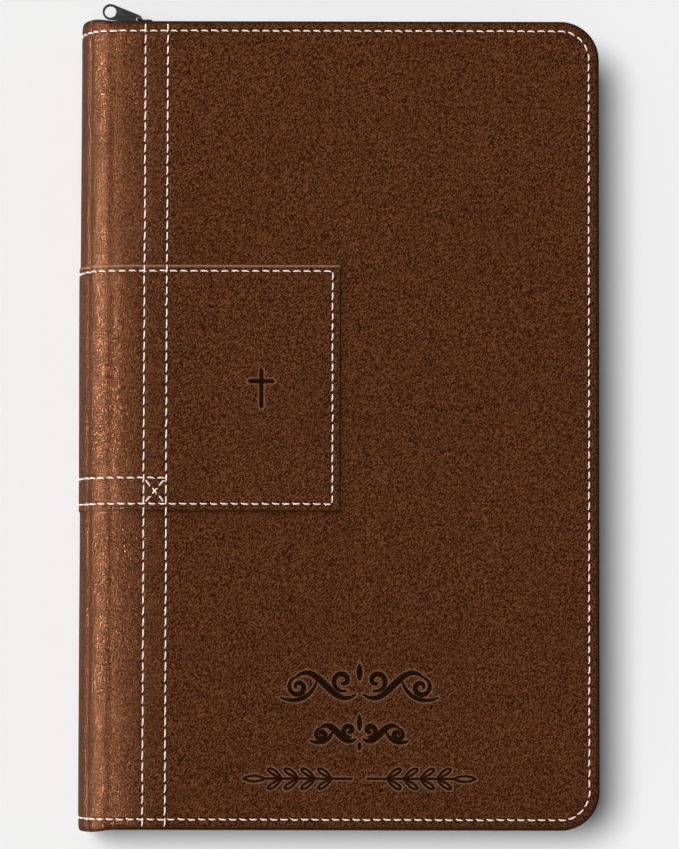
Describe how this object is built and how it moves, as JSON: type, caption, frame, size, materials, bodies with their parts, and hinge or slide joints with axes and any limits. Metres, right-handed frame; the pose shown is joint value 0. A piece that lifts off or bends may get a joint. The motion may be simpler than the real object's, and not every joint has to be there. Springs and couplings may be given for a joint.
{
  "type": "zip-around bible",
  "caption": "Thinline devotional book in a soft stitched leather-like case with a rounded spine, closed round three edges by a coil zip with a metal slider and pull tab.",
  "frame": {"origin": "on the back cover's outer face, where the closed book rests, midway between head and tail and between the spine and the fore-edge", "axes": "+X towards the fore-edge, +Y towards the head, +Z from the back cover to the front cover"},
  "size_m": [0.1614, 0.2566, 0.0328],
  "materials": {
    "leather": "soft satin, fine grain",
    "panel_leather": "soft satin, fine grain",
    "board": "matt",
    "endpaper": "matt",
    "page_paper": "matt",
    "band_cloth": "woven",
    "zip_tape": "woven",
    "zip_coil": "satin",
    "gunmetal": "dark plated",
    "thread": "twisted thread"
  },
  "bodies": {
    "back_cover": {"back_cover_skin": "leather", "back_cover_board": "board", "back_cover_lining": "endpaper", "back_zip_tape": "zip_tape", "back_zip_coil": "zip_coil", "back_top_stop": "gunmetal", "zip_bottom_stop": "gunmetal"},
    "block": {"spine_skin": "leather", "spine_panel": "panel_leather", "spine_inlay": "board", "spine_mull": "band_cloth", "head_band": "band_cloth", "tail_band": "band_cloth", "back_flyleaf": "endpaper", "section_04": "page_paper", "section_05": "page_paper", "section_06": "page_paper", "section_07": "page_paper", "section_08": "page_paper", "section_09": "page_paper", "section_10": "page_paper", "section_11": "page_paper", "section_12": "page_paper", "section_13": "page_paper", "section_14": "page_paper", "section_15": "page_paper"},
    "front_cover": {"front_cover_skin": "leather", "front_cover_board": "board", "front_cover_lining": "endpaper", "front_panel": "panel_leather", "front_zip_tape": "zip_tape", "front_zip_coil": "zip_coil", "front_top_stop": "gunmetal", "edge_thread": "thread", "seam_thread_outer_head": "thread", "seam_thread_outer_tail": "thread", "seam_thread_inner_head": "thread", "seam_thread_inner_tail": "thread", "panel_thread": "thread", "strap_thread": "thread"},
    "flyleaf": {"front_flyleaf": "endpaper"},
    "first_section": {"section_01": "page_paper"},
    "second_section": {"section_02": "page_paper"},
    "third_section": {"section_03": "page_paper"},
    "slider": {"slider_body": "gunmetal", "slider_bail": "gunmetal"},
    "pull_link": {"pull_link": "gunmetal"},
    "pull_tab": {"pull_tab": "gunmetal"}
  },
  "joints": [
    {"name": "front_hinge", "type": "hinge", "parent": "block", "child": "front_cover", "pos_m": [-0.069, 0, 0.0321], "axis": [0, -1, 0], "range_deg": [0, 178]},
    {"name": "back_hinge", "type": "hinge", "parent": "back_cover", "child": "block", "pos_m": [-0.0805, 0, 0.0003], "axis": [0, 1, 0], "range_deg": [-90, 0]},
    {"name": "flyleaf_turn", "type": "hinge", "parent": "block", "child": "flyleaf", "pos_m": [-0.069, 0, 0.0321], "axis": [0, -1, 0], "range_deg": [0, 175]},
    {"name": "first_section_turn", "type": "hinge", "parent": "block", "child": "first_section", "pos_m": [-0.069, 0, 0.0321], "axis": [0, -1, 0], "range_deg": [0, 170]},
    {"name": "second_section_turn", "type": "hinge", "parent": "block", "child": "second_section", "pos_m": [-0.069, 0, 0.0321], "axis": [0, -1, 0], "range_deg": [0, 164]},
    {"name": "third_section_turn", "type": "hinge", "parent": "block", "child": "third_section", "pos_m": [-0.069, 0, 0.0321], "axis": [0, -1, 0], "range_deg": [0, 159]},
    {"name": "slider_slide", "type": "slide", "parent": "back_cover", "child": "slider", "axis": [1, 0, 0], "range_m": [0, 0.118]},
    {"name": "link_swing", "type": "hinge", "parent": "slider", "child": "pull_link", "pos_m": [-0.0601, 0.126, 0.0155], "axis": [0, 0, 1], "range_deg": [-110, 0]},
    {"name": "tab_swing", "type": "hinge", "parent": "pull_link", "child": "pull_tab", "pos_m": [-0.0631, 0.1275, 0.0155], "axis": [0, 0, 1], "range_deg": [-60, 12]}
  ],
  "couplings": [
    {"joint": "flyleaf_turn", "follows": "front_hinge", "ratio": 0.97},
    {"joint": "first_section_turn", "follows": "front_hinge", "ratio": 0.94},
    {"joint": "second_section_turn", "follows": "front_hinge", "ratio": 0.91},
    {"joint": "third_section_turn", "follows": "front_hinge", "ratio": 0.88}
  ]
}
